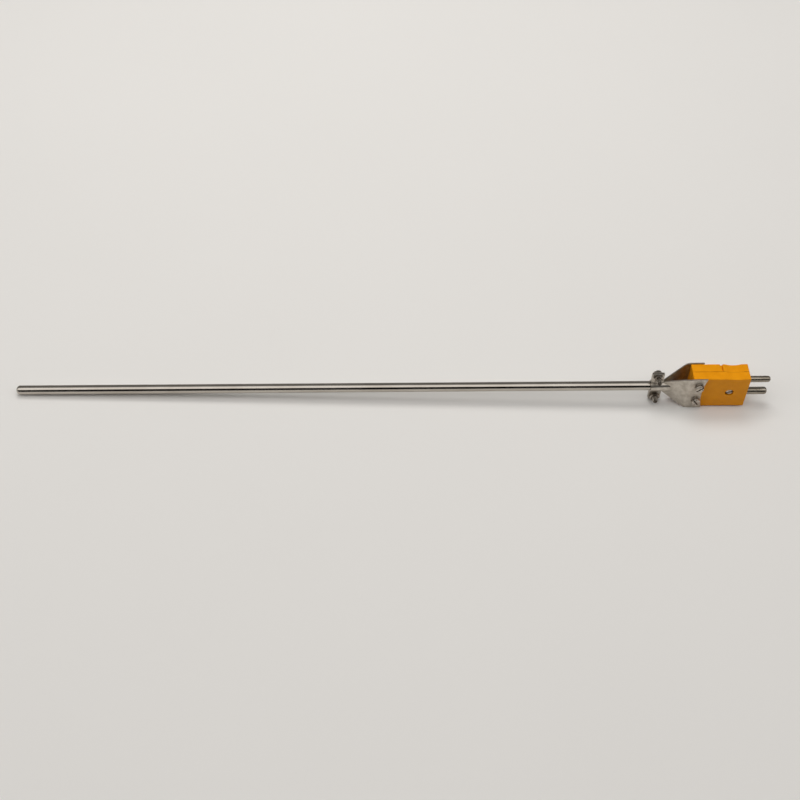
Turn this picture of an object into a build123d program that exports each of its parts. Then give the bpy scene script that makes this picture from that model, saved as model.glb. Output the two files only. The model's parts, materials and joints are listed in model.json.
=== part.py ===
from build123d import *
import os
from math import atan2, sqrt, tan

# Plug-in sheathed thermocouple: a long mineral-insulated probe, held by a two-plate
# bracket to a standard two-pin thermocouple plug.
#
# Millimetres. +X runs along the probe from its tip to the plug's pins, +Z across the
# plug's width and +Y through its thickness. The origin is on the probe's axis at the
# mouth of the clamp, where the full-diameter sheath ends.

# ---- Driving dimensions -------------------------------------------------------------

# Probe
sheath_diameter = 6.0
sheath_wall = 0.9
immersion_length = 400.0
tip_length = 3.0
tip_rounding = 2.4
tip_spigot = 1.5
swage_depth = 0.2          # the clamped end of the sheath is drawn down by this much
seal_depth = 3.0
seal_dome = 1.0
bead_rounding = 0.6        # of the junction and of the seal
tail_length = 2.0          # sheath behind the clamp
wire_diameter = 1.0
wire_spacing = 2.2
junction_length = 1.6
junction_diameter = 3.6
junction_setback = 1.0     # insulation between the junction and the tip's spigot
wire_bend_radius = 2.0
sleeve_wall = 0.4
sleeve_setback = 0.2       # from the seal
sleeve_insertion = 0.5     # short of the wiring space

# Plug
plug_length = 35.0
plug_width = 25.4
plug_thickness = 12.7
plug_distance = 24.5       # from the clamp's mouth to the plug's cable end
plug_wall = 2.0
plug_edge_rounding = 0.6
split_chamfer = 0.15
cavity_length = 17.5       # wiring space, from the cable end
cable_entry_diameter = 6.0
grip_start = 20.1
grip_length = 12.0
base_grip_depth = 1.3
cover_grip_depth = 0.45
notch_position = 18.7
notch_width = 0.9
notch_depth = 1.35
notch_mouth = 2.6
notch_mouth_depth = 1.6
notch_floor = 0.7          # from the parting plane
boss_wall = 1.3            # round each bracket screw

# Pins
pin_spacing = 11.1
pin_length = 14.3
positive_pin_diameter = 4.0
negative_pin_diameter = 4.8
pin_end_rounding = 1.6
collar_length = 2.0
collar_step = 0.3
collar_setback = 0.1

# Terminals
terminal_position = 11.5   # from the plug's cable end
terminal_block_length = 8.0
terminal_block_width = 5.2
terminal_block_top = 1.0   # from the plug's parting plane towards the cover
terminal_block_bottom = 2.2
terminal_washer_diameter = 6.0
terminal_wire_start = 4.0  # straight run of wire, before the terminal screw
terminal_wire_end = 2.4    # and past it
terminal_wire_gap = 0.15   # between wire and screw

# Bracket
plate_thickness = 0.8
clamp_width = 7.5
ear_reach = 11.3
ear_gap = 0.4
ear_corner = 0.4
neck_half_width = 4.5
neck_length = 0.35         # from the ears to the bend line where the taper starts
bend_position = 2.2        # second bend line, before the plug's cable end
bend_radius = 2.0
shoulder_position = 2.2    # outline corner, before the plug's cable end
shoulder_rounding = 14.0
bracket_margin = 0.5       # the plates stand this far past the plug's narrow sides
bracket_overlap = 8.4      # how far the plates' corners reach along the plug
end_arc_depth = 1.9

# Screws, all M3
thread_diameter = 3.0
head_diameter = 5.5
head_height = 1.9
head_rounding = 0.9
slot_width = 0.8
slot_depth = 0.9
thread_chamfer = 0.4
nut_chamfer = 0.35
nut_across_flats = 5.5
nut_height = 1.8            # thin nuts
washer_diameter = 6.0
washer_thickness = 0.5
clamp_screw_spacing = 17.0
clamp_screw_protrusion = 3.7    # past the nut
bracket_screw_spacing = 12.7
bracket_screw_inset = 4.0
bracket_screw_protrusion = 1.4
terminal_screw_setback = 0.2    # short of the block's far side
terminal_head_diameter = 5.0
terminal_head_height = 1.6
assembly_screw_inset = 24.0
assembly_screw_shortfall = 0.35  # short of the bush's inner end
assembly_head_diameter = 4.8
assembly_head_height = 1.6
assembly_washer_thickness = 0.3
head_recess_depth = 2.3
insert_diameter = 4.6
insert_length = 3.6
insert_setback = 0.4

# Named clearances, radial unless said otherwise
thread_gap = 0.04
screw_hole_gap = 0.1
slip_gap = 0.02
pin_gap = 0.04
recess_gap = 0.3
head_gap = 0.2             # above a terminal screw's head
hole_end_gap = 0.6         # past the bush, along its axis
mouth_gap = 0.15           # along the probe, from the sheath's shoulder to the clamp
overcut = 1.0              # how far a cutting shape runs past the faces that it opens
sheet_reach = 10.0         # half-depth of the shapes that cut the plates to outline

# ---- Derived places -----------------------------------------------------------------

sheath_radius = sheath_diameter / 2
swaged_radius = sheath_radius - swage_depth
bore_radius = sheath_radius - sheath_wall
wire_radius = wire_diameter / 2
wire_offset = wire_spacing / 2
tip_end = -immersion_length
junction_start = tip_end + tip_length + tip_spigot + junction_setback
junction_end = junction_start + junction_length

clamp_start = mouth_gap
clamp_end = clamp_start + clamp_width
sheath_end = clamp_end + tail_length
seal_start = sheath_end - seal_depth

plug_start = plug_distance
plug_end = plug_start + plug_length
half_width = plug_width / 2
half_thickness = plug_thickness / 2
cavity_start = plug_start + plug_wall
cavity_end = plug_start + cavity_length
cavity_depth = half_thickness - plug_wall
pin_offset = pin_spacing / 2

thread_radius = thread_diameter / 2
screw_hole_radius = thread_radius + screw_hole_gap
tapped_radius = thread_radius + thread_gap

clamp_x = (clamp_start + clamp_end) / 2
clamp_z = clamp_screw_spacing / 2
bracket_x = plug_start + bracket_screw_inset
bracket_z = bracket_screw_spacing / 2
assembly_x = plug_start + assembly_screw_inset
terminal_x = plug_start + terminal_position

ear_face = ear_gap / 2 + plate_thickness
plate_face = half_thickness + plate_thickness
saddle_radius = swaged_radius + slip_gap
flare_x = clamp_end + neck_length
bend_x = plug_start - bend_position
taper_angle = atan2(half_thickness - ear_gap / 2, bend_x - flare_x)
shoulder_x = plug_start - shoulder_position
corner_x = plug_start + bracket_overlap
plate_reach = half_width + bracket_margin

washer_seat = terminal_block_top + wire_diameter + 2 * slip_gap
terminal_head_seat = washer_seat + washer_thickness
terminal_head_top = terminal_head_seat + terminal_head_height
recess_floor = half_thickness - head_recess_depth
insert_end = insert_setback + insert_length

terminal_screw_length = terminal_head_seat + terminal_block_bottom - terminal_screw_setback
clamp_screw_length = 2 * ear_face + washer_thickness + nut_height + clamp_screw_protrusion
bracket_screw_length = 2 * plate_face + washer_thickness + nut_height + bracket_screw_protrusion
assembly_screw_length = recess_floor + assembly_washer_thickness + insert_end - assembly_screw_shortfall


# ---- Shape helpers ------------------------------------------------------------------

def rod(radius, x0, x1, y=0.0, z=0.0):
    """Cylinder along X from x0 to x1."""
    return Pos((x0 + x1) / 2, y, z) * Rot(0, 90, 0) * Cylinder(radius, x1 - x0)


def post(radius, y0, y1, x, z):
    """Cylinder along Y from y0 to y1."""
    return Pos(x, (y0 + y1) / 2, z) * Rot(90, 0, 0) * Cylinder(radius, y1 - y0)


def block(x0, x1, y0, y1, z0, z1):
    """Box between two corners."""
    return Pos((x0 + x1) / 2, (y0 + y1) / 2, (z0 + z1) / 2) * Box(x1 - x0, y1 - y0, z1 - z0)


def mirrored(shape):
    """The same piece on the other side of the parting plane."""
    return mirror(shape, about=Plane.XZ)


def circles_at(shape, axis, place, radius):
    """Round edges of one radius whose centres lie at one place along an axis."""
    def on_place(edge):
        centre = edge.arc_center
        value = {"X": centre.X, "Y": centre.Y, "Z": centre.Z}[axis]
        return abs(value - place) < 0.01 and abs(edge.radius - radius) < 0.01
    return [edge for edge in shape.edges().filter_by(GeomType.CIRCLE) if on_place(edge)]


def save(name, shape):
    """Write one sub-part."""
    shape.label = name
    export_step(shape, f"parts/{name}.step")


# ---- Fasteners: built along Y, head towards -Y, seat at y = 0 --------------------------

def pan_screw(length, head_d=head_diameter, head_h=head_height):
    """Pan head with a driver slot, and a plain shank of the thread's outer diameter."""
    head = post(head_d / 2, -head_h, 0, 0, 0)
    head = fillet(circles_at(head, "Y", -head_h, head_d / 2), min(head_rounding, head_h * 0.6))
    shank = post(thread_radius, 0, length, 0, 0)
    shank = chamfer(circles_at(shank, "Y", length, thread_radius), thread_chamfer)
    slot = block(-slot_width / 2, slot_width / 2, -head_h, -head_h + slot_depth, -head_d, head_d)
    return head + shank - slot


def washer(outer_d=washer_diameter, thickness=washer_thickness):
    """Plain flat washer, its back at y = 0."""
    ring = post(outer_d / 2, -thickness, 0, 0, 0)
    return ring - post(screw_hole_radius, -thickness, 0, 0, 0)


def hex_nut():
    """Hexagon nut with turned-down corners, its back at y = 0."""
    hexagon = RegularPolygon(nut_across_flats / 2, 6, major_radius=False)
    prism = Rot(90, 0, 0) * extrude(hexagon, nut_height)
    corner_radius = nut_across_flats / sqrt(3)
    turned = post(corner_radius, -nut_height, 0, 0, 0)
    turned = chamfer(circles_at(turned, "Y", -nut_height, corner_radius), nut_chamfer)
    return (prism & turned) - post(tapped_radius, -nut_height, 0, 0, 0)


def facing_front(shape, x, y, z):
    """Place a fastener with its head towards -Y."""
    return Pos(x, y, z) * shape


def facing_rear(shape, x, y, z):
    """Place a fastener with its head towards +Y."""
    return Pos(x, y, z) * Rot(0, 0, 180) * shape


# ---- Probe --------------------------------------------------------------------------

def sheath_tube():
    """Drawn stainless tube, swaged down where the clamp holds it."""
    full = rod(sheath_radius, tip_end + tip_length, 0)
    swaged = rod(swaged_radius, 0, sheath_end)
    return full + swaged - rod(bore_radius, tip_end + tip_length, sheath_end)


def sheath_tip_cap():
    """Rounded plug welded into the tip."""
    nose = rod(sheath_radius, tip_end, tip_end + tip_length)
    nose = fillet(circles_at(nose, "X", tip_end, sheath_radius), tip_rounding)
    spigot = rod(bore_radius - slip_gap, tip_end + tip_length, tip_end + tip_length + tip_spigot)
    return nose + spigot


def wire_bore(radius, x0, x1):
    """Both wires' holes."""
    return rod(radius, x0, x1, z=wire_offset) + rod(radius, x0, x1, z=-wire_offset)


def mineral_insulation():
    """Pressed magnesia core that fills the sheath around both wires and the junction."""
    start = tip_end + tip_length + tip_spigot
    core = rod(bore_radius - slip_gap, start, seal_start)
    pocket = rod(junction_diameter / 2 + slip_gap, junction_start - slip_gap, junction_end + slip_gap)
    return core - pocket - wire_bore(wire_radius + slip_gap, junction_end, seal_start)


def measuring_junction():
    """Weld bead that joins the two wires."""
    bead = rod(junction_diameter / 2, junction_start, junction_end)
    return fillet(circles_at(bead, "X", junction_start, junction_diameter / 2), bead_rounding)


def end_seal():
    """Potting that closes the cable end of the sheath."""
    body = rod(bore_radius - slip_gap, seal_start, sheath_end + seal_dome)
    body = fillet(circles_at(body, "X", sheath_end + seal_dome, bore_radius - slip_gap), bead_rounding)
    return body - wire_bore(wire_radius + slip_gap, seal_start, sheath_end + seal_dome)


def wire(side):
    """One conductor, from the junction to its terminal. side is +1 or -1."""
    beside_screw = thread_radius + wire_radius + terminal_wire_gap
    terminal_z = pin_offset - beside_screw
    under_washer = -(terminal_block_top + slip_gap + wire_radius)
    path = FilletPolyline(
        (junction_end, 0, side * wire_offset),
        (cavity_start + slip_gap, 0, side * wire_offset),
        (terminal_x - terminal_wire_start, under_washer, side * terminal_z),
        (terminal_x + terminal_wire_end, under_washer, side * terminal_z),
        radius=wire_bend_radius,
    )
    section = Plane(path @ 0, z_dir=path % 0) * Circle(wire_radius)
    return sweep(section, path)


def wire_sleeve(side):
    """Insulating sleeve over the bare wire between the seal and the plug."""
    start = sheath_end + seal_dome + sleeve_setback
    end = cavity_start - sleeve_insertion
    tube = rod(wire_radius + sleeve_wall, start, end, z=side * wire_offset)
    return tube - rod(wire_radius + slip_gap, start, end, z=side * wire_offset)


# ---- Plug ---------------------------------------------------------------------------

def pin_radius(side):
    """The positive pin is above the axis and thinner."""
    return (positive_pin_diameter if side > 0 else negative_pin_diameter) / 2


def pin(side):
    """Solid pin with a locating collar and a flat terminal block."""
    radius = pin_radius(side)
    z = side * pin_offset
    collar_end = plug_end - collar_setback
    stem = rod(radius, cavity_end - slip_gap, plug_end + pin_length, z=z)
    stem = fillet(circles_at(stem, "X", plug_end + pin_length, radius), pin_end_rounding)
    collar = rod(radius + collar_step, collar_end - collar_length, collar_end, z=z)
    half = terminal_block_width / 2
    tail = block(terminal_x - terminal_block_length / 2, cavity_end - slip_gap,
                 -terminal_block_top, terminal_block_bottom, z - half, z + half)
    tapped = post(tapped_radius, -terminal_block_top, terminal_block_bottom, terminal_x, z)
    return stem + collar + tail - tapped


def pin_channels():
    """The room that both pins and their collars take in the halves."""
    room = None
    for side in (1, -1):
        z = side * pin_offset
        collar_end = plug_end - collar_setback
        stem = rod(pin_radius(side) + pin_gap, cavity_end - overcut, plug_end + overcut, z=z)
        collar = rod(pin_radius(side) + collar_step + pin_gap,
                     collar_end - collar_length - pin_gap, collar_end + pin_gap, z=z)
        room = stem + collar if room is None else room + stem + collar
    return room


def grip_cut(depth, y0, y1):
    """Finger grips on both narrow sides: shallow arcs along the plug."""
    radius = (grip_length ** 2 / 4 + depth ** 2) / (2 * depth)
    x = plug_start + grip_start + grip_length / 2
    reach = half_width - depth + radius
    return post(radius, y0, y1, x, reach) + post(radius, y0, y1, x, -reach)


def bolt_posts(radius, y0, y1):
    """One post at each bracket screw."""
    return post(radius, y0, y1, bracket_x, bracket_z) + post(radius, y0, y1, bracket_x, -bracket_z)


def half_shell(y0, y1):
    """One half of the housing, between the wide face and the parting plane."""
    shell = block(plug_start, plug_end, y0, y1, -half_width, half_width)
    wide_face = y0 if y0 < 0 else y1
    shell = fillet(shell.edges().filter_by(Axis.Y), plug_edge_rounding)
    rim = [e for e in shell.edges() if abs(e.center().Y - wide_face) < 0.01]
    shell = fillet(rim, plug_edge_rounding * 0.8)
    split = [e for e in shell.edges() if abs(e.center().Y) < 0.01]
    return chamfer(split, split_chamfer)


def wiring_space(y0, y1):
    """Hollow for the terminals, open at the parting plane, less the bolt bosses."""
    room = block(cavity_start, cavity_end, y0, y1, -(half_width - plug_wall), half_width - plug_wall)
    room -= bolt_posts(screw_hole_radius + boss_wall, y0, y1)
    entry = rod(cable_entry_diameter / 2, plug_start - overcut, cavity_start + overcut)
    return room + entry


def plug_cover():
    """Front half, which carries the head of the assembly screw."""
    front = -half_thickness - overcut
    shell = half_shell(-half_thickness, 0) - grip_cut(cover_grip_depth, front, overcut)
    shell -= wiring_space(-cavity_depth, overcut)
    shell -= pin_channels()
    shell -= bolt_posts(screw_hole_radius, front, overcut)
    shell -= post(screw_hole_radius, front, overcut, assembly_x, 0)
    for side in (1, -1):
        shell -= post(terminal_head_diameter / 2 + recess_gap, -terminal_head_top - head_gap,
                      overcut, terminal_x, side * pin_offset)
    head_room = assembly_head_diameter / 2 + recess_gap
    return shell - post(head_room, front, -recess_floor, assembly_x, 0)


def edge_notch(side):
    """Slot across one narrow side of the base, flared at the wide face."""
    x = plug_start + notch_position
    top = side * half_width
    depth = side * notch_depth
    slot = block(x - notch_width / 2, x + notch_width / 2, notch_floor, half_thickness + overcut,
                 min(top - depth, top + depth), max(top - depth, top + depth))
    flare = Polyline((x - notch_mouth / 2, top), (x + notch_mouth / 2, top),
                     (x, top - side * notch_mouth_depth), close=True)
    mouth = extrude(Plane.XZ * make_face(flare), -notch_mouth / 2)
    return slot + Pos(0, half_thickness - notch_mouth / 2, 0) * mouth


def plug_base():
    """Rear half, which holds the pins and the threaded insert."""
    rear = half_thickness + overcut
    shell = half_shell(0, half_thickness) - grip_cut(base_grip_depth, -overcut, rear)
    shell -= edge_notch(1) + edge_notch(-1)
    room = wiring_space(-overcut, cavity_depth)
    shelf_start = terminal_x - terminal_block_length / 2
    for side in (1, -1):
        z = side * pin_offset
        half = terminal_block_width / 2
        room -= block(shelf_start, cavity_end + overcut, terminal_block_bottom + slip_gap,
                      cavity_depth + overcut, z - half, z + half)
    shell -= room
    shell -= pin_channels()
    shell -= bolt_posts(screw_hole_radius, -overcut, rear)
    shell -= post(insert_diameter / 2 + slip_gap, insert_setback, insert_end, assembly_x, 0)
    return shell - post(screw_hole_radius, -overcut, insert_end + hole_end_gap, assembly_x, 0)


def assembly_insert():
    """Threaded brass bush moulded into the base."""
    bush = post(insert_diameter / 2, insert_setback, insert_end, assembly_x, 0)
    return bush - post(tapped_radius, insert_setback, insert_end, assembly_x, 0)


# ---- Bracket ------------------------------------------------------------------------

def plate_side(y_shift):
    """Bent line of one face of the plate, seen from above: ear, taper, flat."""
    ear_y = -ear_gap / 2 - y_shift
    flat_y = -half_thickness - y_shift
    lean = y_shift * tan(taper_angle / 2)
    return [
        (clamp_start, ear_y),
        (flare_x - lean, ear_y),
        (bend_x - lean, flat_y),
        (corner_x + overcut, flat_y),
    ]


def bent_strip():
    """The bent sheet before it is cut to its outline."""
    inside = plate_side(0)
    outside = plate_side(plate_thickness)
    side = Polyline(*inside, *reversed(outside), close=True)
    strip = extrude(make_face(side), ear_reach + plate_reach, both=True)
    for radius, lines in ((bend_radius + plate_thickness, outside), (bend_radius, inside)):
        bend = [e for e in strip.edges().filter_by(Axis.Z)
                if abs(e.center().X - lines[2][0]) < 0.01 and abs(e.center().Y - lines[2][1]) < 0.01]
        strip = fillet(bend, radius)
    return strip


def plate_outline():
    """Outline of ears, neck and flared plate, square to the plug's wide face."""
    def edge(side):
        return FilletPolyline(
            (flare_x, side * neck_half_width),
            (shoulder_x, side * plate_reach),
            (corner_x, side * plate_reach),
            radius=shoulder_rounding,
        )
    end = ThreePointArc((corner_x, plate_reach), (corner_x - end_arc_depth, 0),
                        (corner_x, -plate_reach))
    neck_line = Line((flare_x, neck_half_width), (flare_x, -neck_half_width))
    outline = make_face(Plane.XZ * (edge(1) + end + edge(-1) + neck_line))
    flared = extrude(outline, sheet_reach, both=True)
    neck = block(clamp_end - overcut, flare_x, -sheet_reach, sheet_reach, -neck_half_width, neck_half_width)
    ears = block(clamp_start, clamp_end, -sheet_reach, sheet_reach, -ear_reach, ear_reach)
    ears = fillet(ears.edges().filter_by(Axis.Y), ear_corner)
    return flared + neck + ears


def saddle_bead():
    """Half-round bead over the sheath, which dies away into the tapered plate."""
    room = Polyline(*plate_side(0), (corner_x + overcut, -2 * sheet_reach),
                    (clamp_start, -2 * sheet_reach), close=True)
    outside = extrude(make_face(room), plate_reach, both=True)
    return rod(saddle_radius + plate_thickness, clamp_start, plug_start) & outside


def bracket_front():
    """Front plate, on the cover's side: stamped, bent and pressed from one sheet."""
    plate = (bent_strip() & plate_outline()) + saddle_bead()
    plate -= rod(saddle_radius, clamp_start - overcut, plug_start)
    plate -= post(screw_hole_radius, -sheet_reach, 0, clamp_x, clamp_z)
    plate -= post(screw_hole_radius, -sheet_reach, 0, clamp_x, -clamp_z)
    return plate - bolt_posts(screw_hole_radius, -sheet_reach, 0)


# ---- Build --------------------------------------------------------------------------

def build():
    """Every sub-part by name."""
    parts = {
        "sheath_tube": sheath_tube(),
        "sheath_tip_cap": sheath_tip_cap(),
        "mineral_insulation": mineral_insulation(),
        "measuring_junction": measuring_junction(),
        "end_seal": end_seal(),
        "plug_cover": plug_cover(),
        "plug_base": plug_base(),
        "assembly_insert": assembly_insert(),
    }
    front = bracket_front()
    parts["bracket_front"] = front
    parts["bracket_rear"] = mirrored(front)

    small_washer = washer(assembly_head_diameter, assembly_washer_thickness)
    seat = -recess_floor
    parts["assembly_washer"] = facing_front(small_washer, assembly_x, seat, 0)
    screw = pan_screw(assembly_screw_length, assembly_head_diameter, assembly_head_height)
    parts["assembly_screw"] = facing_front(screw, assembly_x, seat - assembly_washer_thickness, 0)

    for side, pole, level in ((1, "positive", "upper"), (-1, "negative", "lower")):
        z = side * pin_offset
        parts[f"wire_{pole}"] = wire(side)
        parts[f"sleeve_{pole}"] = wire_sleeve(side)
        parts[f"pin_{pole}"] = pin(side)
        terminal_screw = pan_screw(terminal_screw_length, terminal_head_diameter, terminal_head_height)
        parts[f"terminal_screw_{pole}"] = facing_front(terminal_screw, terminal_x, -terminal_head_seat, z)
        clamp_plate = washer(terminal_washer_diameter, washer_thickness)
        parts[f"terminal_washer_{pole}"] = facing_front(clamp_plate, terminal_x, -washer_seat, z)

        z = side * clamp_z
        parts[f"clamp_washer_{level}"] = facing_rear(washer(), clamp_x, ear_face, z)
        parts[f"clamp_screw_{level}"] = facing_rear(
            pan_screw(clamp_screw_length), clamp_x, ear_face + washer_thickness, z)
        parts[f"clamp_nut_{level}"] = facing_front(hex_nut(), clamp_x, -ear_face, z)

        z = side * bracket_z
        parts[f"bracket_washer_{level}"] = facing_front(washer(), bracket_x, -plate_face, z)
        parts[f"bracket_screw_{level}"] = facing_front(
            pan_screw(bracket_screw_length), bracket_x, -plate_face - washer_thickness, z)
        parts[f"bracket_nut_{level}"] = facing_rear(hex_nut(), bracket_x, plate_face, z)
    return parts


os.makedirs("parts", exist_ok=True)
for name, shape in build().items():
    save(name, shape)
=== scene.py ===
# %% [markdown]
# A plug-in thermocouple: a long steel probe, a folded steel bracket and a yellow two-pin
# plug. The exact design is loaded first. It gives every piece its size and its place, and
# everything that follows is finish and fine detail in the same frame, in metres: +X runs
# along the probe towards the pins, +Z is the plug's width and +Y its thickness, away from
# the side with the plug's cover, which is called the front here.

# %% Load the design
import bpy
import bmesh
import json
import math
import numpy as np
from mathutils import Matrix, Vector

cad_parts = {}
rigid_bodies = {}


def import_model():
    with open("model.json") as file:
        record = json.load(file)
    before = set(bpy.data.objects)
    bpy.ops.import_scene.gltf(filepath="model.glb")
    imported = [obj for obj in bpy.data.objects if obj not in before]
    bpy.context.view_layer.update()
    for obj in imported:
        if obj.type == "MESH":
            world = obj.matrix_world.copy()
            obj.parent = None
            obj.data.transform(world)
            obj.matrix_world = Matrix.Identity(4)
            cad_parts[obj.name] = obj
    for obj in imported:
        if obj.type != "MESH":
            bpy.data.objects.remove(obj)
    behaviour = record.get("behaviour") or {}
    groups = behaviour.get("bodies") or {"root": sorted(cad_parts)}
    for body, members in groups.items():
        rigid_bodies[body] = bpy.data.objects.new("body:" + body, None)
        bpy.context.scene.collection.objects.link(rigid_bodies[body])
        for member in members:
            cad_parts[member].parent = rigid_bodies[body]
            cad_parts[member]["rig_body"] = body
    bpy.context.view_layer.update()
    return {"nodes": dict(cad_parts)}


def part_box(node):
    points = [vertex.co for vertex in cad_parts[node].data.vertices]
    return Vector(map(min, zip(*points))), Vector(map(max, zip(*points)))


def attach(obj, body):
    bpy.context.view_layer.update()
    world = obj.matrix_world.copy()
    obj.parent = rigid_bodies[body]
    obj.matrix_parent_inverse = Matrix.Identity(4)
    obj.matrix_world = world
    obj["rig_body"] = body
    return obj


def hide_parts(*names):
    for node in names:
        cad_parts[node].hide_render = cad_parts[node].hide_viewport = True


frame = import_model()
nodes = frame["nodes"]
scene = bpy.context.scene


# %% [markdown]
# Every new piece below is a surface of two parameters: an array of points [v, u, xyz], whose
# neighbours are joined by four-cornered faces. Modelling tools could make such pieces too,
# but an array says exactly where each corner lies, and any piece can reuse these helpers.

# %% Helpers for meshes
def grid_faces(rows, cols, wraps):
    """Corner numbers [face, 4] of a grid of points. Corner (v, u) has the number
    v * cols + u, and each face has the corners (v, u), (v, u+1), (v+1, u+1), (v+1, u).
    Where u wraps, the last column is joined to the first."""
    cells = np.arange(cols if wraps else cols - 1)
    v, u = np.meshgrid(np.arange(rows - 1), cells, indexing="ij")
    right = (u + 1) % cols
    corners = (v * cols + u, v * cols + right, (v + 1) * cols + right, (v + 1) * cols + u)
    return np.stack(corners, -1).reshape(-1, 4)


def new_piece(name, mesh, crease=None):
    """Puts a mesh in the scene, unmoved, because its place is in its corners. It is shaded
    smooth, except across edges that turn by more than crease degrees."""
    mesh.polygons.foreach_set("use_smooth", np.full(len(mesh.polygons), True))
    if crease is not None:
        mesh.set_sharp_from_angle(angle=math.radians(crease))
    piece = bpy.data.objects.new(name, mesh)
    scene.collection.objects.link(piece)
    return piece


print("mesh helpers ready")


# %% [markdown]
# The probe lies on a bench. It touches with the underside of its rounded tip and with the
# lower edge of the bracket, so the bench is not quite parallel to the probe: it drops
# towards the plug. A plane could be added and turned by hand, but working its slope out from
# the two places that touch keeps the probe resting on it exactly.

# %% Bench
TIP_ROUNDING = 0.0024        # of the sheath's tip
SHOULDER_X = 0.0238          # where the bracket is widest and touches
BENCH_REACH = 2.0            # the bench ends this far from its middle
BENCH_POINTS = 9             # along each side of its grid
MIDDLE_FROM_TIP = 0.25

tip_low, tip_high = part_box("sheath_tip_cap")
low_tip = np.array([tip_low.x + TIP_ROUNDING, 0, tip_low.z])
low_bracket = np.array([SHOULDER_X, 0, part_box("bracket_front")[0].z])
along = (low_bracket - low_tip) / np.linalg.norm(low_bracket - low_tip)
across = np.array([0.0, 1.0, 0.0])
middle = low_tip + along * MIDDLE_FROM_TIP
reach = np.linspace(-BENCH_REACH, BENCH_REACH, BENCH_POINTS)
ys, xs = np.meshgrid(reach, reach, indexing="ij")
points = middle + xs[..., None] * along + ys[..., None] * across
bench_faces = grid_faces(BENCH_POINTS, BENCH_POINTS, False)
bench_mesh = bpy.data.meshes.new("bench")
bench_mesh.from_pydata(points.reshape(-1, 3).tolist(), [], bench_faces.tolist())
bench = new_piece("bench", bench_mesh)
print("bench falls", round(math.degrees(math.atan2(-along[2], along[0])), 2), "degrees")


# %% [markdown]
# The camera stands on the front side, well above the probe, and looks down on it at about
# fifty degrees. The lens is a little longer than normal, so the probe's two ends stay
# nearly the same size. Its place and turn are written as numbers instead of being aimed at
# the probe, because a hand-held camera is never quite level.

# %% Camera
camera = bpy.data.objects.new("camera", bpy.data.cameras.new("camera"))
camera.location = (-0.14200, -0.44783, 0.53407)
camera.rotation_euler = [math.radians(a) for a in (39.3215, 1.1933, 0.4613)]
camera.data.lens = 49.769
camera.data.sensor_width = 36.0
camera.data.clip_start = 0.01
scene.collection.objects.link(camera)
scene.camera = camera
print("camera", round((camera.location - Vector(middle)).length, 3), "m from the probe")


# %% [markdown]
# Polished round steel shows whatever stands round it as long stripes, so the light is
# planned as a tent whose brightness changes only with the angle about the probe's axis:
# dim at the front, dark where the camera stands, bright overhead, and dim again low at the
# back. Cards and lamps could do the same, but a tent painted on the sky has no
# ends, so the stripes run along the whole length of the tube.

# %% Light tent
TENT = (            # angle about the probe in degrees, 0 at the front horizon; brightness
    (0, 0.05),
    (5, 0.02),
    (47, 0.02),
    (53, 1.7),
    (96, 1.7),
    (105, 0.30),
    (180, 0.26),
)
TENT_STRENGTH = 0.73
TENT_COLOUR = (1.0, 0.985, 0.965, 1)
world = bpy.data.worlds.new("light_tent")
scene.world = world
world.use_nodes = True
tree = world.node_tree
tree.nodes.clear()


def world_node(kind, **settings):
    """Adds one node to the tent and sets its plain properties."""
    node = tree.nodes.new(kind)
    for key, value in settings.items():
        setattr(node, key, value)
    return node


direction = world_node("ShaderNodeTexCoord")
split = world_node("ShaderNodeSeparateXYZ")
front = world_node("ShaderNodeMath", operation="MULTIPLY")
front.inputs[1].default_value = -1.0
angle = world_node("ShaderNodeMath", operation="ARCTAN2")
share = world_node("ShaderNodeMath", operation="DIVIDE", use_clamp=True)
share.inputs[1].default_value = math.pi
shade = world_node("ShaderNodeValToRGB")
tint = world_node("ShaderNodeMix", data_type="RGBA", blend_type="MULTIPLY")
tint.inputs["Factor"].default_value = 1.0
tint.inputs["B"].default_value = TENT_COLOUR
sky = world_node("ShaderNodeBackground")
sky.inputs["Strength"].default_value = TENT_STRENGTH
out = world_node("ShaderNodeOutputWorld")

stops = shade.color_ramp.elements
stops.remove(stops[1])
for i, (degrees, level) in enumerate(TENT):
    stop = stops[0] if i == 0 else stops.new(degrees / 180)
    stop.position = degrees / 180
    stop.color = (level, level, level, 1)

tree.links.new(direction.outputs["Generated"], split.inputs[0])
tree.links.new(split.outputs["Y"], front.inputs[0])
tree.links.new(split.outputs["Z"], angle.inputs[0])
tree.links.new(front.outputs[0], angle.inputs[1])
tree.links.new(angle.outputs[0], share.inputs[0])
tree.links.new(share.outputs[0], shade.inputs[0])
tree.links.new(shade.outputs["Color"], tint.inputs["A"])
tree.links.new(tint.outputs["Result"], sky.inputs["Color"])
tree.links.new(sky.outputs[0], out.inputs["Surface"])
print("tent has", len(TENT), "bands")


# %% [markdown]
# The tent alone would leave hardly a shadow. One large soft panel, overhead and a little
# behind, adds the faint shadow that falls towards the camera, as a ceiling light does. It
# is left out of reflections, so that it doesn't cut the tent's stripes short.

# %% Overhead panel
PANEL_AIM = Vector((-0.1, 0.0, -0.01))
panel = bpy.data.objects.new("panel", bpy.data.lights.new("panel", "AREA"))
panel.data.shape = "RECTANGLE"
panel.data.size = 0.9
panel.data.size_y = 0.5
panel.data.energy = 7.2
panel.data.color = (1.0, 0.985, 0.96)
panel.location = (-0.25, 0.62, 1.20)
panel.rotation_euler = (PANEL_AIM - panel.location).to_track_quat("-Z", "Y").to_euler()
panel.visible_glossy = False
scene.collection.objects.link(panel)
scene.view_settings.view_transform = "Standard"
print("panel at", tuple(round(c, 2) for c in panel.location))


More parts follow.
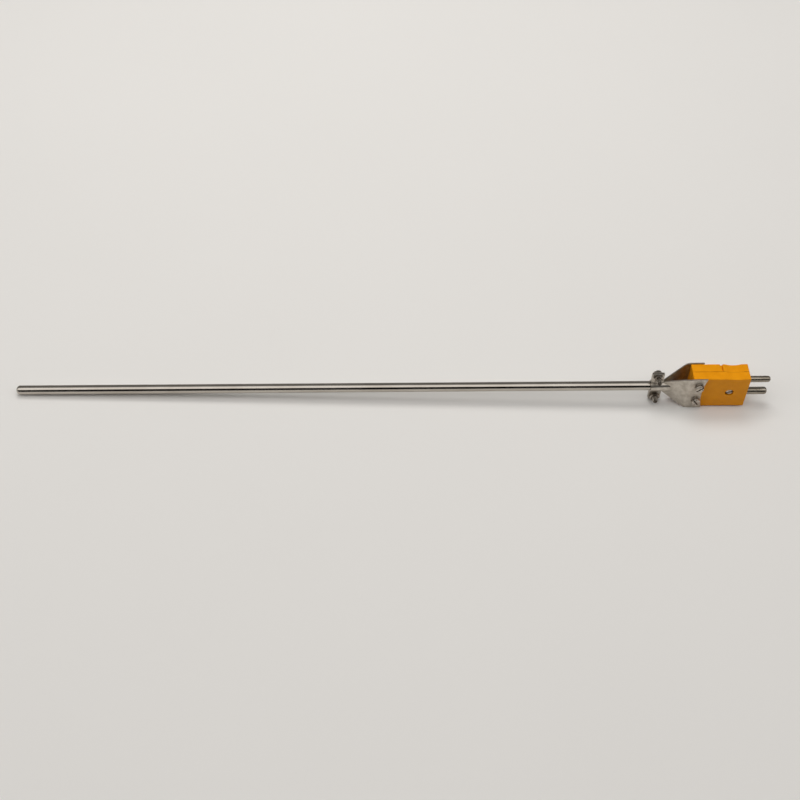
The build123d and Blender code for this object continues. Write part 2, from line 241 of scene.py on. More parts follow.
# %% [markdown]
# Every finish below is built the same way: one physically based shader, whose colour,
# roughness and surface relief are driven by a few noise patterns read in the piece's own
# coordinates. Painted images could do this too, but noise has no seams and works at any
# distance. Stretching a pattern along one axis turns round specks into drawn, rolled or
# turned lines, which is what tells one metal part from another.

# %% Helpers for finishes
class Finish:
    """One material under construction: a shader, and the piece's own coordinates."""

    def __init__(self, name, colour, metallic=0.0, roughness=0.5, specular=0.5):
        self.material = bpy.data.materials.new(name)
        self.material.use_nodes = True
        self.material.diffuse_color = (*colour, 1)
        self.tree = self.material.node_tree
        self.shader = self.tree.nodes["Principled BSDF"]
        self.place = self.tree.nodes.new("ShaderNodeTexCoord").outputs["Object"]
        self.relief = None
        self.shader.inputs["Base Color"].default_value = (*colour, 1)
        self.shader.inputs["Metallic"].default_value = metallic
        self.shader.inputs["Roughness"].default_value = roughness
        self.shader.inputs["Specular IOR Level"].default_value = specular

    def add(self, kind, **settings):
        """Adds one node and sets its plain properties."""
        node = self.tree.nodes.new(kind)
        for key, value in settings.items():
            setattr(node, key, value)
        return node

    def link(self, a, b):
        """Carries one node's output to another's input."""
        self.tree.links.new(a, b)

    def grain(self, size, stretch=(1, 1, 1), detail=3.0, rough=0.55, turn=(0, 0, 0)):
        """Noise whose specks are about size metres across, longer along a stretched axis."""
        mapping = self.add("ShaderNodeMapping")
        mapping.inputs["Scale"].default_value = [1 / (size * s) for s in stretch]
        mapping.inputs["Rotation"].default_value = turn
        noise = self.add("ShaderNodeTexNoise")
        noise.inputs["Scale"].default_value = 1.0
        noise.inputs["Detail"].default_value = detail
        noise.inputs["Roughness"].default_value = rough
        self.link(self.place, mapping.inputs["Vector"])
        self.link(mapping.outputs[0], noise.inputs["Vector"])
        return noise.outputs["Fac"]

    def levels(self, value, low, high, start=0.3, end=0.7):
        """Carries a pattern from start..end to low..high, and holds it outside that."""
        node = self.add("ShaderNodeMapRange", clamp=True, interpolation_type="SMOOTHSTEP")
        node.inputs["From Min"].default_value = start
        node.inputs["From Max"].default_value = end
        node.inputs["To Min"].default_value = low
        node.inputs["To Max"].default_value = high
        self.link(value, node.inputs["Value"])
        return node.outputs["Result"]

    def blend(self, factor, a, b):
        """Mixes two colours, or a colour and another mix."""
        node = self.add("ShaderNodeMix", data_type="RGBA")
        self.link(factor, node.inputs["Factor"])
        for socket, colour in (("A", a), ("B", b)):
            if isinstance(colour, tuple):
                node.inputs[socket].default_value = (*colour, 1)
            else:
                self.link(colour, node.inputs[socket])
        return node.outputs["Result"]

    def colour(self, output):
        """Lets a pattern drive the shader's colour."""
        self.link(output, self.shader.inputs["Base Color"])

    def roughness(self, output):
        """Lets a pattern drive the shader's roughness."""
        self.link(output, self.shader.inputs["Roughness"])

    def emboss(self, height, depth, strength=1.0):
        """Raises the surface by a pattern times depth, in metres, on any relief so far."""
        node = self.add("ShaderNodeBump")
        node.inputs["Strength"].default_value = strength
        node.inputs["Distance"].default_value = depth
        self.link(height, node.inputs["Height"])
        if self.relief is not None:
            self.link(self.relief, node.inputs["Normal"])
        self.relief = node.outputs["Normal"]
        self.link(self.relief, self.shader.inputs["Normal"])


def paint(finish, *names):
    """Gives a finish to whole pieces of the design."""
    for name in names:
        nodes[name].data.materials.clear()
        nodes[name].data.materials.append(finish.material)


print("finish helpers ready")


# %% [markdown]
# The bench is a smooth pale sheet, very slightly uneven in tone. One flat colour would do
# from afar, but a faint cloudiness keeps such a large surface from looking drawn.

# %% Bench finish
bench_finish = Finish("bench_sheet", (0.79, 0.775, 0.75), roughness=0.75)
cloud = bench_finish.grain(0.18, detail=2.0)
bench_finish.colour(bench_finish.blend(cloud, (0.78, 0.765, 0.742), (0.80, 0.785, 0.762)))
bench.data.materials.append(bench_finish.material)
print("bench finished")


# %% [markdown]
# The sheath is a drawn stainless tube. Drawing leaves fine lines along it, handling dulls
# it in soft patches, and dark specks settle on it, more of them at the welded tip, which
# gets hot. The lines are relief, not colour, so they only show where the light grazes.

# %% Sheath finish
def drawn_steel(name, stain):
    """Bright steel with lines along X. stain is how strongly the dark specks show."""
    finish = Finish(name, (0.50, 0.46, 0.41), metallic=1.0, roughness=0.2)
    lines = finish.grain(0.00009, stretch=(260, 1, 1), detail=4.0)
    patches = finish.grain(0.006, stretch=(3.5, 1, 1), detail=3.0)
    specks = finish.grain(0.0007, stretch=(1.5, 1, 1), detail=4.0, rough=0.7)
    clean = finish.blend(finish.levels(patches, 0, 1), (0.46, 0.42, 0.37), (0.54, 0.50, 0.45))
    darkening = finish.levels(specks, 0, stain, 0.56, 0.72)
    finish.colour(finish.blend(darkening, clean, (0.30, 0.25, 0.19)))
    finish.roughness(finish.levels(patches, 0.10, 0.19))
    finish.emboss(lines, 0.000004, 0.6)
    return finish


sheath_finish = drawn_steel("drawn_steel", 0.25)
tip_finish = drawn_steel("drawn_steel_tip", 0.6)
print("sheath finished")


# %% [markdown]
# The bracket plates are stamped from rolled sheet. The rolling lines run along the strip,
# and years of clamping leave soft grey-brown patches and fine slanting scratches. Patches
# change both the colour and the gloss, because dirt does both on a real plate.

# %% Bracket finish
plate_finish = Finish("rolled_plate", (0.50, 0.46, 0.40), metallic=1.0, roughness=0.4)
rolled = plate_finish.grain(0.00012, stretch=(40, 1, 1), detail=4.0)
patches = plate_finish.grain(0.0035, detail=4.0, rough=0.6)
scratches = plate_finish.grain(0.00022, stretch=(1, 1, 22), detail=2.0, turn=(0, 0.5, 0))
base = plate_finish.blend(plate_finish.levels(patches, 0, 1),
                          (0.44, 0.395, 0.335), (0.60, 0.555, 0.49))
scratched = plate_finish.levels(scratches, 0, 0.35, 0.62, 0.7)
plate_finish.colour(plate_finish.blend(scratched, base, (0.72, 0.68, 0.62)))
plate_finish.roughness(plate_finish.levels(patches, 0.46, 0.32))
plate_finish.emboss(rolled, 0.000008, 0.5)
plate_finish.emboss(scratches, 0.000012, 0.35)
print("bracket finished")


# %% [markdown]
# Screws, nuts and washers are plain machine steel, a little rougher than the tube. Shade is
# painted into driver slots, thread roots, the corner under a head and a nut's seat and bore.
# A shader could look for such corners itself, but that is slow and is lost on export. Those
# places are known when the pieces are made, so each corner of their meshes carries a number,
# hollow, from 0 in the open to 1 in a recess, and the finish paints shade by it.

# %% Fastener finish
# Near-black colour of the shade painted into recesses.
RECESS_SHADE = (0.05, 0.038, 0.028)


def machine_steel(name, bright, dark, rough):
    """Metal whose colour wanders between bright and dark, with painted shade in its hollows.
    """
    finish = Finish(name, bright, metallic=1.0, roughness=rough)
    marks = finish.grain(0.00018, detail=5.0, rough=0.6)
    grime = finish.grain(0.0011, detail=4.0, rough=0.65)
    metal = finish.blend(finish.levels(grime, 0, 1, 0.35, 0.68), bright, dark)
    # Painted shade: the hollow number, varied a little by noise, darkens the colour towards
    # near black in slots, thread roots and under heads.
    hollow = finish.add("ShaderNodeAttribute", attribute_name="hollow")
    darkening = finish.add("ShaderNodeMath", operation="MULTIPLY", use_clamp=True)
    finish.link(hollow.outputs["Fac"], darkening.inputs[0])
    finish.link(finish.levels(grime, 0.7, 1.0, 0.3, 0.6), darkening.inputs[1])
    finish.colour(finish.blend(darkening.outputs[0], metal, RECESS_SHADE))
    finish.roughness(finish.levels(grime, rough, rough + 0.16))
    finish.emboss(marks, 0.00001, 0.4)
    return finish


screw_finish = machine_steel("screw_steel", (0.58, 0.54, 0.48), (0.33, 0.28, 0.23), 0.18)
nut_finish = machine_steel("nut_steel", (0.50, 0.45, 0.39), (0.25, 0.20, 0.16), 0.22)
brass_finish = machine_steel("terminal_brass", (0.72, 0.50, 0.22), (0.45, 0.29, 0.11), 0.28)
print("fasteners finished")


# %% [markdown]
# The pins are turned from solid alloy, so their lines run round them instead of along. That
# takes the same pattern as the tube, stretched across the axis instead of along it.

# %% Pin finish
pin_finish = Finish("turned_alloy", (0.34, 0.30, 0.25), metallic=1.0, roughness=0.25)
turned = pin_finish.grain(0.00012, stretch=(1, 60, 60), detail=3.0)
rubbed = pin_finish.grain(0.0016, stretch=(4, 1, 1), detail=4.0)
pin_finish.colour(pin_finish.blend(pin_finish.levels(rubbed, 0, 1),
                                   (0.28, 0.24, 0.19), (0.40, 0.36, 0.30)))
pin_finish.roughness(pin_finish.levels(rubbed, 0.32, 0.22))
pin_finish.emboss(turned, 0.000008, 0.5)
paint(pin_finish, "pin_positive", "pin_negative")
print("pins finished")


# %% [markdown]
# The plug's halves are moulded in a yellow-orange filled plastic. The mould was finely
# spark-eroded, which leaves an even grain, and the colour is a touch uneven. Shade is painted
# into the joint between the halves. The joint is the plane y = 0, so the finish can find it
# by the distance from that plane and darken close to it, with no extra piece.

# %% Plug finish
SEAM_NEAR, SEAM_FAR = 0.00008, 0.00022      # painted shade is full up to one, gone past the other

plug_finish = Finish("moulded_yellow", (0.80, 0.30, 0.002), roughness=0.45, specular=0.18)
mould_grain = plug_finish.grain(0.00022, detail=3.0, rough=0.6)
flow = plug_finish.grain(0.006, detail=3.0)
specks = plug_finish.grain(0.0005, detail=2.0)
uneven = plug_finish.blend(plug_finish.levels(flow, 0, 1),
                           (0.78, 0.285, 0.001), (0.84, 0.32, 0.003))
speckled = plug_finish.blend(plug_finish.levels(specks, 0, 0.25, 0.6, 0.75),
                             uneven, (0.50, 0.17, 0.002))
depth = plug_finish.add("ShaderNodeSeparateXYZ")
plug_finish.link(plug_finish.place, depth.inputs[0])
off_seam = plug_finish.add("ShaderNodeMath", operation="ABSOLUTE")
plug_finish.link(depth.outputs["Y"], off_seam.inputs[0])
# Painted shade along the joint: the colour darkens towards dark brown within a fraction of a
# millimetre of the plane y = 0.
seam_shade = plug_finish.levels(off_seam.outputs[0], 0.75, 0.0, SEAM_NEAR, SEAM_FAR)
plug_finish.colour(plug_finish.blend(seam_shade, speckled, (0.22, 0.07, 0.002)))
plug_finish.roughness(plug_finish.levels(mould_grain, 0.40, 0.54))
plug_finish.emboss(mould_grain, 0.00002, 0.35)
paint(plug_finish, "plug_cover", "plug_base")
print("plug finished")


# %% [markdown]
# Inside there are two bare wires of different alloys, welded together at the tip, packed in
# white magnesia and sealed with dark resin where they leave the sheath. Nobody sees them
# until the probe is cut open, so the metals reuse the fasteners' recipe, and powder, resin
# and glass yarn share one simple recipe for dull, grainy solids.

# %% Inner finishes
def grainy_solid(name, light, dark, size, rough):
    """A dull solid with lumps about size metres across: resin, pressed powder or yarn."""
    finish = Finish(name, light, roughness=rough)
    lumps = finish.grain(size, detail=5.0, rough=0.65)
    finish.colour(finish.blend(finish.levels(lumps, 0, 1), light, dark))
    finish.emboss(lumps, size * 0.2, 0.6)
    return finish


INNER = (           # finish, the pieces of the design that it covers
    (brass_finish, "assembly_insert"),
    (machine_steel("weld_bead", (0.50, 0.47, 0.44), (0.22, 0.19, 0.18), 0.35),
     "measuring_junction"),
    (machine_steel("positive_wire", (0.55, 0.49, 0.43), (0.38, 0.32, 0.27), 0.3),
     "wire_positive"),
    (machine_steel("negative_wire", (0.58, 0.57, 0.55), (0.40, 0.38, 0.36), 0.3),
     "wire_negative"),
    (grainy_solid("magnesia", (0.82, 0.81, 0.78), (0.66, 0.64, 0.60), 0.0002, 0.9),
     "mineral_insulation"),
    (grainy_solid("seal_resin", (0.16, 0.13, 0.10), (0.08, 0.065, 0.05), 0.0006, 0.45),
     "end_seal"),
)
for finish, piece in INNER:
    paint(finish, piece)
braid_finishes = {
    "positive": grainy_solid("glass_sleeve_positive",
                             (0.78, 0.70, 0.52), (0.6, 0.5, 0.34), 0.0003, 0.8),
    "negative": grainy_solid("glass_sleeve_negative",
                             (0.70, 0.22, 0.16), (0.5, 0.14, 0.1), 0.0003, 0.8),
}
print("inner pieces finished")


# %% [markdown]
# Turned pieces come off a lathe, so their shape is a profile carried round an axis. The
# surface is a function of two parameters: how far along the profile, and the angle. The Spin
# tool does the same, but as an array it can also be varied round the axis, as a thread is.
# Where the profile ends on the axis the ring shrinks to a point, and the doubled corners
# there are merged, so the skin stays closed.

# %% Helpers for closed skins
MERGE = 2e-7                 # corners closer than this are one
SLIVER = 1e-8                # faces with edges shorter than this are dropped


def closed_skin(name, patches, crease=35.0):
    """One piece from several grids of points [v, u, xyz]. Each grid is a pair (points,
    wraps in u). Corners that meet are merged, thin slivers dropped and the faces turned
    out."""
    corners, faces, start = [], [], 0
    for points, wraps in patches:
        rows, cols = points.shape[:2]
        faces.append(grid_faces(rows, cols, wraps) + start)
        corners.append(points.reshape(-1, 3))
        start += rows * cols
    mesh = bpy.data.meshes.new(name)
    mesh.from_pydata(np.concatenate(corners).tolist(), [], np.concatenate(faces).tolist())
    shape = bmesh.new()
    shape.from_mesh(mesh)
    bmesh.ops.remove_doubles(shape, verts=shape.verts, dist=MERGE)
    bmesh.ops.dissolve_degenerate(shape, edges=shape.edges, dist=SLIVER)
    bmesh.ops.recalc_face_normals(shape, faces=shape.faces)
    open_edges = sum(1 for edge in shape.edges if len(edge.link_faces) != 2)
    shape.to_mesh(mesh)
    shape.free()
    print(name, len(mesh.polygons), "faces,", open_edges, "open edges")
    return new_piece(name, mesh, crease)


def ring_points(radius, place, angles, axis):
    """Points [v, u, xyz] at a place along an axis. Off the axis they lie radius times the
    cosine of the angle one way and radius times its sine the other. The angle runs
    right-handed: Y to Z about X, and Z to X about Y."""
    first, second = radius * np.cos(angles), radius * np.sin(angles)
    level = place + 0 * first
    return np.stack({"X": (level, first, second), "Y": (second, level, first)}[axis], -1)


def carried_round(profile, angles, axis):
    """A profile's rows (place along the axis, radius), each carried round all the angles."""
    place, radius = np.array(profile).T[..., None]
    return ring_points(radius, place, angles, axis)


def full_turn(sides):
    """Angles of evenly spaced columns round a full turn."""
    return np.arange(sides) * 2 * np.pi / sides


def corners_of(piece):
    """The piece's corners as an array [n, xyz]."""
    flat = np.empty(len(piece.data.vertices) * 3)
    piece.data.vertices.foreach_get("co", flat)
    return flat.reshape(-1, 3)


def mark_hollows(piece, amount):
    """Stores how sheltered each corner is, from 0 to 1, for the finish to paint shade by."""
    layer = piece.data.attributes.new("hollow", "FLOAT", "POINT")
    layer.data.foreach_set("value", np.clip(amount, 0, 1).astype(np.float32))


def stand_in(piece, node, finish):
    """Gives a new piece its finish, and puts it in the place of a piece of the design."""
    piece.data.materials.append(finish.material)
    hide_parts(node)
    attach(piece, nodes[node]["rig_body"])


# %% [markdown]
# The sheath is one long tube with a shoulder where the clamp starts, and the tip is a
# rounded plug welded into its end. A shallow groove on each side of the joint marks the
# weld. The tube's skin runs along the outside, over the end and back along the bore, so it
# is closed like the real tube. The groove could be relief in the finish, but as shape it
# catches the light properly.

# %% Sheath and tip
SHEATH_R, SWAGED_R, BORE_R = 0.0030, 0.0028, 0.0021
SPIGOT_R = BORE_R - 0.00002
WELD_DIP = 0.00006           # depth of the groove at the weld
TUBE_GROOVE, TIP_GROOVE = 0.0005, 0.0003    # its reach on each side of the joint
SHOULDER = 0.00004           # rounding of the step at the clamp
EDGE = 0.00012               # rounding of the cut end
PLAIN_START, PLAIN_END = 0.0008, -0.0002    # even rows start past the joint, end at the clamp
TUBE_ROWS, NOSE_ROWS, TUBE_SIDES = 160, 14, 72

tube_low, tube_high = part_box("sheath_tube")
joint, tube_end = tube_low.x, tube_high.x
slope_r = SHEATH_R - WELD_DIP * 0.3

tube_profile = (
    [(joint, BORE_R), (joint, SHEATH_R - WELD_DIP), (joint + TUBE_GROOVE / 2, slope_r),
     (joint + TUBE_GROOVE, SHEATH_R)]
    + [(x, SHEATH_R) for x in np.linspace(joint + PLAIN_START, PLAIN_END, TUBE_ROWS)]
    + [(-SHOULDER, SHEATH_R - SHOULDER * 0.75), (0.0, SWAGED_R + SHOULDER),
       (SHOULDER * 1.5, SWAGED_R), (tube_end - EDGE, SWAGED_R), (tube_end, SWAGED_R - EDGE),
       (tube_end, BORE_R + EDGE / 2), (tube_end - EDGE / 2, BORE_R), (joint, BORE_R)])
round_tube = full_turn(TUBE_SIDES)
sheath = closed_skin("sheath", [(carried_round(tube_profile, round_tube, "X"), True)])
stand_in(sheath, "sheath_tube", sheath_finish)

nose = [(tip_low.x + TIP_ROUNDING * (1 - math.sin(bend)),
         SHEATH_R - TIP_ROUNDING + TIP_ROUNDING * math.cos(bend))
        for bend in np.linspace(np.pi / 2, 0, NOSE_ROWS)]
tip_profile = (
    [(tip_low.x, 0.0)] + nose
    + [(joint - TIP_GROOVE, SHEATH_R), (joint - TIP_GROOVE * 0.4, slope_r),
       (joint, SHEATH_R - WELD_DIP), (joint, SPIGOT_R), (tip_high.x, SPIGOT_R),
       (tip_high.x, 0.0)])
tip = closed_skin("sheath_tip", [(carried_round(tip_profile, round_tube, "X"), True)])
stand_in(tip, "sheath_tip_cap", tip_finish)


# %% [markdown]
# The screws are metric three-millimetre screws with slotted pan heads. Their threads are
# real helices: at each place along the shank the radius rises and falls once a pitch, and
# the pattern slides round by one full turn a pitch. The Screw modifier can wind a thread,
# but can't run it out smoothly at the ends. The head's top is a grid of parallel chords,
# because the straight walls of a driver slot can then follow two grid lines.

# %% Screws
PITCH, THREAD_R, THREAD_DEPTH = 0.0005, 0.0015, 0.00028
CORE_R = THREAD_R - THREAD_DEPTH
RUN_IN, RUN_OUT = 0.0001, 0.0004            # plain start of the thread, then its rise
POINT_DROP = 0.0004                         # the end is this much thinner than the thread
HEAD_ROUNDING, SLOT_WIDTH, SLOT_DEPTH = 0.0009, 0.0008, 0.0009
RIM = 0.00012                               # chamfer under the head
CHORDS, CHORD_POINTS = 25, 17               # grid of the head's top
ROWS_PER_PITCH = 8
NEAR = 1e-6                                 # corners this close to a level lie on it
SHADE_UNDER_HEAD = 0.0002                       # painted shade under a head reaches this far up


def thread_ridge(phase):
    """Height of a thread's ridge, 0 at the root and 1 at the crest, over one pitch (phase
    0 to 1): flat root, sloped side, flat crest in the middle, sloped side."""
    return np.clip(1.5 - 3.2 * np.abs(phase % 1.0 - 0.5), 0.0, 1.0)


def thread_radius(place, angle, length):
    """Radius of a right-handed thread: the core's radius plus the ridge at phase place
    over pitch less angle over a full turn. It rises from the core after the head, and at
    the far end no radius is greater than that of a cone."""
    ridge = thread_ridge(place / PITCH - angle / (2 * np.pi))
    rise = np.clip((place - RUN_IN) / RUN_OUT, 0, 1)
    radius = CORE_R + THREAD_DEPTH * ridge * rise
    return np.minimum(radius, THREAD_R - POINT_DROP + (length - place))


def head_height(radius, head_r, height):
    """Height of the head's top: flat, then a quarter circle down to the rim."""
    past = np.clip(radius - (head_r - HEAD_ROUNDING), 0, HEAD_ROUNDING)
    return height - HEAD_ROUNDING + np.sqrt(np.maximum(HEAD_ROUNDING ** 2 - past ** 2, 0))


def slotted_screw(length, head_r, height):
    """Grids of a screw with its seat at the origin, shank along +Y, head towards -Y and
    driver slot along Z. Row a of the top is the chord at x = head_r cos(a), and its
    points go from -head_r sin(a) to +head_r sin(a). The two chords that are the slot's
    walls come twice, at the top's height and at the floor's."""
    wall = math.acos(SLOT_WIDTH / 2 / head_r)
    even = np.linspace(0, np.pi, CHORDS)
    even = np.delete(even, [CHORDS // 2 - 1, CHORDS // 2 + 1])
    columns = np.sort([*even, wall, np.pi - wall])
    first, last = np.searchsorted(columns, [wall, np.pi - wall])
    chord = np.sin(np.linspace(-np.pi / 2, np.pi / 2, CHORD_POINTS))
    x = head_r * np.cos(columns)[:, None] + 0 * chord
    z = head_r * np.sin(columns)[:, None] * chord
    rows = [*range(first + 1), *range(first, last + 1), *range(last, len(columns))]
    sunk = np.repeat([False, True, False], [first + 1, last - first + 1, len(columns) - last])
    top = head_height(np.hypot(x, z), head_r, height)[rows]
    level = np.where(sunk[:, None], height - SLOT_DEPTH, top)
    cap = np.stack([x[rows], -level, z[rows]], -1)

    angles = np.pi / 2 - np.concatenate([columns, 2 * np.pi - columns[-2:0:-1]])
    skirt = [(HEAD_ROUNDING - height, head_r), (-RIM, head_r), (0, head_r - RIM), (0, CORE_R)]
    shank = np.linspace(0, length, int(length / PITCH * ROWS_PER_PITCH) + 1)[:, None]
    spiral = ring_points(thread_radius(shank, angles, length), shank, angles, "Y")
    end = np.stack([spiral[-1], spiral[-1] * np.array([0, 1, 0])])
    return [(cap, False), (carried_round(skirt, angles, "Y"), True), (spiral, True),
            (end, True)]


def placed(patches, degrees, facing, centre):
    """Turns grids about the Y axis, faces them front or rear, and moves them in place.
    Facing the rear is half a turn about Z, which changes the signs of x and y."""
    c, s = math.cos(math.radians(degrees)), math.sin(math.radians(degrees))
    spin = np.array([[c, 0, s], [0, 1, 0], [-s, 0, c]])
    if facing == "rear":
        spin = np.diag([-1.0, -1.0, 1.0]) @ spin
    return [(points @ spin.T + np.array(centre), wraps) for points, wraps in patches]


def fit_screw(node, facing, height, head_d, degrees):
    """Builds the screw that a piece of the design stands for, and puts it in its place.
    Slot floors, thread roots and the corner under the head are marked for painted shade."""
    low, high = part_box(node)
    centre = (low + high) / 2
    length = (high.y - low.y) - height
    seat = low.y + height if facing == "front" else high.y - height
    grids = slotted_screw(length, head_d / 2, height)
    grids = placed(grids, degrees, facing, (centre.x, seat, centre.z))
    screw = closed_skin(node + "_threaded", grids)

    corners = corners_of(screw)
    place = (corners[:, 1] - seat) * (1 if facing == "front" else -1)
    radius = np.hypot(corners[:, 0] - centre.x, corners[:, 2] - centre.z)
    slot_floor = SLOT_DEPTH - height
    in_slot = (np.abs(place - slot_floor) < NEAR) & (radius < head_d / 2 - NEAR * 10)
    near_seat = (place < 0) & (place > -SHADE_UNDER_HEAD)
    root = (place > 0) * (THREAD_R - radius) / THREAD_DEPTH
    # Painted shade: slot floors, thread roots and the corner under the head get a hollow
    # number that darkens them.
    mark_hollows(screw, np.maximum.reduce([in_slot * 1.0, near_seat * 0.85, root * 0.9]))
    if "terminal" in node:
        stand_in(screw, node, brass_finish)
    else:
        stand_in(screw, node, screw_finish)


SCREWS = (          # node, head faces, head height, head diameter, slot's turn in degrees
    ("clamp_screw_upper", "rear", 0.0019, 0.0055, 35),
    ("clamp_screw_lower", "rear", 0.0019, 0.0055, -20),
    ("bracket_screw_upper", "front", 0.0019, 0.0055, 50),
    ("bracket_screw_lower", "front", 0.0019, 0.0055, -38),
    ("assembly_screw", "front", 0.0016, 0.0048, 62),
    ("terminal_screw_positive", "front", 0.0016, 0.0050, 15),
    ("terminal_screw_negative", "front", 0.0016, 0.0050, 15),
)
for screw in SCREWS:
    fit_screw(*screw)


# %% [markdown]
# A nut is a hexagon whose corners were turned down on a lathe. Going round it, the side's
# distance follows the six flats, and the turned cone cuts it lower wherever it stands out
# past the flats, which gives the curved edges that every real nut has. Cutting a six-sided
# block with a cone would give the same, but leaves ragged faces. Its bore carries the same
# thread as the screw.

# %% Nuts
ACROSS_FLATS, NUT_HEIGHT, NUT_BORE_R = 0.0055, 0.0018, 0.00154
FACE_R = ACROSS_FLATS / 2 - 0.0001          # flat ring that the lathe leaves
MOUTH = 0.0002                              # chamfer of the threaded hole
NUT_CUT = 0.00008                           # depth of the thread that shows in the hole
NUT_SIDES, BORE_ROWS = 96, 30


def hexagon_nut():
    """Grid of a nut: seat at y = 0, thickness towards -Y. Rows go out along the seat, up
    the flats, in over the turned face and down the threaded bore. The side's distance is
    half the flats' distance over the cosine of the angle from the nearest flat's middle,
    and the cone lowers its top edge by that excess times the tangent of 30 degrees."""
    angles = full_turn(NUT_SIDES)
    from_flat = (angles + np.pi / 6) % (np.pi / 3) - np.pi / 6
    side = ACROSS_FLATS / 2 / np.cos(from_flat)
    drop = np.maximum(side - FACE_R, 0) * math.tan(math.radians(30))
    outside = [(NUT_BORE_R + MOUTH, 0), (side, 0), (side, drop - NUT_HEIGHT),
               (FACE_R, -NUT_HEIGHT), (NUT_BORE_R + MOUTH, -NUT_HEIGHT)]
    outside = [ring_points(radius + 0 * angles, y, angles, "Y") for radius, y in outside]
    depth = np.linspace(NUT_HEIGHT, 0, BORE_ROWS)[:, None]
    mouth = np.clip(MOUTH - np.minimum(depth, NUT_HEIGHT - depth), 0, 1)
    cut = NUT_CUT * thread_ridge(-depth / PITCH - angles / (2 * np.pi)) * (mouth == 0)
    bore = ring_points(NUT_BORE_R + cut + mouth, -depth, angles, "Y")
    return [(np.concatenate([np.stack(outside), bore]), True)]


NUTS = (            # node, its turned face looks to the, its turn in degrees
    ("clamp_nut_upper", "front", 12),
    ("clamp_nut_lower", "front", -9),
    ("bracket_nut_upper", "rear", 22),
    ("bracket_nut_lower", "rear", -14),
)
for node, facing, degrees in NUTS:
    low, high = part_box(node)
    centre = (low + high) / 2
    seat = high.y if facing == "front" else low.y
    grids = placed(hexagon_nut(), degrees, facing, (centre.x, seat, centre.z))
    nut = closed_skin(node + "_turned", grids, 28)
    corners = corners_of(nut)
    radius = np.hypot(corners[:, 0] - centre.x, corners[:, 2] - centre.z)
    # Painted shade: the seat and the threaded bore get a hollow number that darkens them.
    by_seat = np.abs(corners[:, 1] - seat) < NEAR
    in_bore = radius < NUT_BORE_R + MOUTH * 1.5
    mark_hollows(nut, np.maximum(by_seat * 0.8, in_bore * 0.9))
    stand_in(nut, node, nut_finish)


# %% [markdown]
# Washers are punched from strip: one face keeps a sharp edge, and the other is rounded
# where the punch entered. A plain ring would do, but the soft rim is what catches the light
# round a screw's head, so it is part of the profile.

# %% Washers
WASHER_HOLE_R, WASHER_SIDES = 0.0016, 64
SOFT = 0.0001                               # rounding of the punched edge

for node in [n for n in nodes if "washer" in n]:
    low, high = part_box(node)
    centre = (low + high) / 2
    outer, thick = (high.x - low.x) / 2, high.y - low.y
    facing = "rear" if node.startswith("clamp") else "front"
    seat = high.y if facing == "front" else low.y
    profile = [(0, WASHER_HOLE_R), (0, outer - SOFT / 4), (-SOFT / 4, outer),
               (SOFT - thick, outer), (SOFT * 0.3 - thick, outer - SOFT * 0.3),
               (-thick, outer - SOFT), (-thick, WASHER_HOLE_R + SOFT),
               (SOFT - thick, WASHER_HOLE_R), (0, WASHER_HOLE_R)]
    grids = [(carried_round(profile, full_turn(WASHER_SIDES), "Y"), True)]
    grids = placed(grids, 0, facing, (centre.x, seat, centre.z))
    washer = closed_skin(node + "_punched", grids, 40)
    if "terminal" in node:
        stand_in(washer, node, brass_finish)
    else:
        stand_in(washer, node, nut_finish)


# %% [markdown]
# Stamping leaves a slightly rounded edge all round the bracket's sheet. The design's plates
# have the right shape with knife edges, so instead of drawing the folds again, each plate is
# copied, its loose triangles are merged into one skin, and a narrow bevel rounds the edges
# that turn sharply.

# %% Bracket plates
FLAT_ENOUGH = math.radians(0.6)             # faces that turn less than this are joined

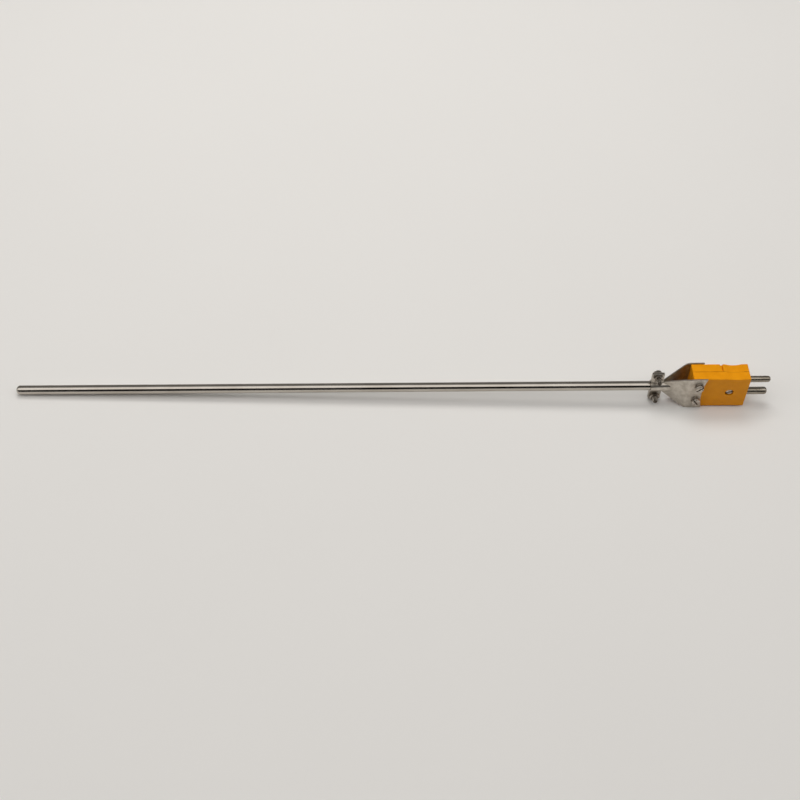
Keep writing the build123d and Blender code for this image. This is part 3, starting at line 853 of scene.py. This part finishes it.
for node in ("bracket_front", "bracket_rear"):
    mesh = nodes[node].data.copy()
    shape = bmesh.new()
    shape.from_mesh(mesh)
    bmesh.ops.remove_doubles(shape, verts=shape.verts, dist=1e-7)
    bmesh.ops.dissolve_limit(shape, angle_limit=FLAT_ENOUGH, verts=shape.verts,
                             edges=shape.edges)
    shape.to_mesh(mesh)
    shape.free()
    mesh.materials.clear()
    plate = new_piece(node + "_stamped", mesh, 30)
    edge = plate.modifiers.new("stamped_edge", "BEVEL")
    edge.width = 0.00012
    edge.segments = 2
    edge.limit_method = "ANGLE"
    edge.angle_limit = math.radians(40)
    edge.harden_normals = True
    stand_in(plate, node, plate_finish)
    print(plate.name, len(mesh.polygons), "faces before the bevel")


# %% [markdown]
# The bare wires leave the sheath in braided glass sleeves. A braid is two families of
# yarns wound opposite ways, each passing over and under the other. Yarn by yarn it would be
# hundreds of tubes for a piece that hardly shows, so the sleeve is one skin whose radius is
# the higher of two helical ridges that take turns in a checked pattern.

# %% Sleeves
SLEEVE_R, SLEEVE_BORE_R, YARN_HEIGHT = 0.00088, 0.00053, 0.00011
YARNS, LAY = 8, 0.0030                      # ridges round the sleeve, length of one winding
SLEEVE_ROWS, SLEEVE_SIDES = 240, 64


def braid_radius(x, angle):
    """Radius of a braid: the outer radius less the yarn's height wherever no yarn is on
    top. Each family's ridge is the absolute value of a cosine, with YARNS ridges round the
    sleeve, and it slides round once a LAY, one family each way. Which family is on top
    alternates like the fields of a chessboard, by the product of two cosines."""
    left = YARNS * (angle / (2 * np.pi) + x / LAY)
    right = YARNS * (angle / (2 * np.pi) - x / LAY)
    over = 0.5 + 0.5 * np.cos(np.pi * (left + right)) * np.cos(np.pi * (left - right))
    crown = np.maximum(np.abs(np.cos(np.pi * left)) * over,
                       np.abs(np.cos(np.pi * right)) * (1 - over))
    return SLEEVE_R - YARN_HEIGHT * (1 - crown)


for pole in ("positive", "negative"):
    node = "sleeve_" + pole
    low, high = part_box(node)
    centre = (low + high) / 2
    angles = full_turn(SLEEVE_SIDES)
    x = np.linspace(low.x, high.x, SLEEVE_ROWS)[:, None]
    skin = ring_points(braid_radius(x, angles), x, angles, "X")
    bore = carried_round([(high.x, SLEEVE_BORE_R), (low.x, SLEEVE_BORE_R)], angles, "X")
    loop = np.concatenate([skin, bore, skin[:1]]) + np.array([0, centre.y, centre.z])
    sleeve = closed_skin(node + "_braided", [(loop, True)], 60)
    stand_in(sleeve, node, braid_finishes[pole])


# %% [markdown]

# %% End
print("all pieces built")
